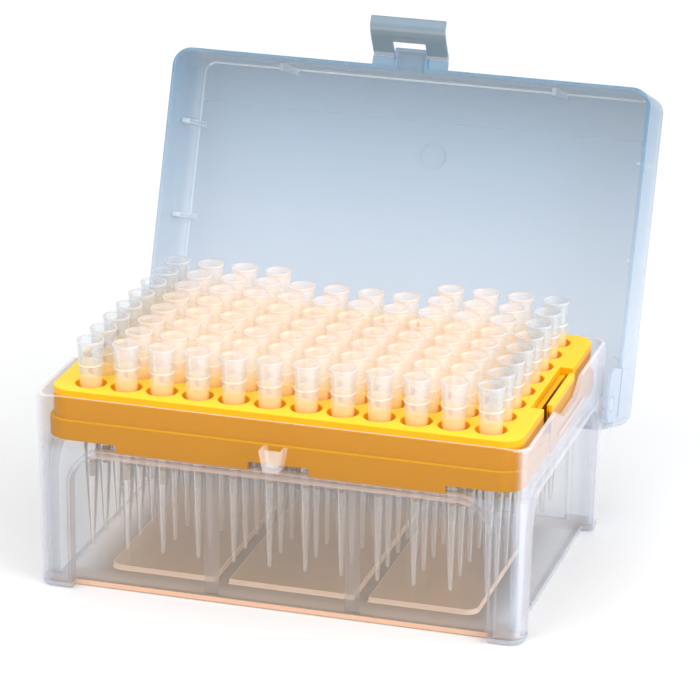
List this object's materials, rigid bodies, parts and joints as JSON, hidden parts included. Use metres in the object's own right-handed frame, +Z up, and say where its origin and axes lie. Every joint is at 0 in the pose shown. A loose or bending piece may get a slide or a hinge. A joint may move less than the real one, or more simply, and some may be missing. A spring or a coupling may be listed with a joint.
{
  "type": "pipette tip box",
  "caption": "Hinged clear box holding a rack of filter pipette tips, lid folded back and latch flap up.",
  "frame": {"origin": "middle of the base's footprint, on the floor", "axes": "+X to the right along the box, +Y to the back where the hinge is, +Z up"},
  "size_m": [0.127, 0.1367, 0.1195],
  "materials": {
    "base_plastic": "natural polypropylene, translucent",
    "rack_plastic": "yellow, satin",
    "lid_plastic": "natural polypropylene, translucent, cool",
    "latch_plastic": "natural polypropylene",
    "tip_plastic": "clear polypropylene",
    "filter_fibre": "porous white"
  },
  "bodies": {
    "base": {"base_box": "base_plastic", "tip_rack": "rack_plastic", "tips_column_01": "tip_plastic", "tips_column_02": "tip_plastic", "tips_column_03": "tip_plastic", "tips_column_04": "tip_plastic", "tips_column_05": "tip_plastic", "tips_column_06": "tip_plastic", "tips_column_07": "tip_plastic", "tips_column_08": "tip_plastic", "tips_column_09": "tip_plastic", "tips_column_10": "tip_plastic", "tips_column_11": "tip_plastic", "tips_column_12": "tip_plastic", "filters_column_01": "filter_fibre", "filters_column_02": "filter_fibre", "filters_column_03": "filter_fibre", "filters_column_04": "filter_fibre", "filters_column_05": "filter_fibre", "filters_column_06": "filter_fibre", "filters_column_07": "filter_fibre", "filters_column_08": "filter_fibre", "filters_column_09": "filter_fibre", "filters_column_10": "filter_fibre", "filters_column_11": "filter_fibre", "filters_column_12": "filter_fibre"},
    "lid": {"lid": "lid_plastic"},
    "latch": {"latch": "latch_plastic"}
  },
  "joints": [
    {"name": "lid_hinge", "type": "hinge", "parent": "base", "child": "lid", "pos_m": [0, 0.03623, 0.0339], "axis": [1, 0, 0], "range_deg": [0, 109.73]},
    {"name": "latch_fold", "type": "hinge", "parent": "lid", "child": "latch", "pos_m": [0, 0.07207, 0.10894], "axis": [1, 0, 0], "range_deg": [-30, 59]}
  ]
}
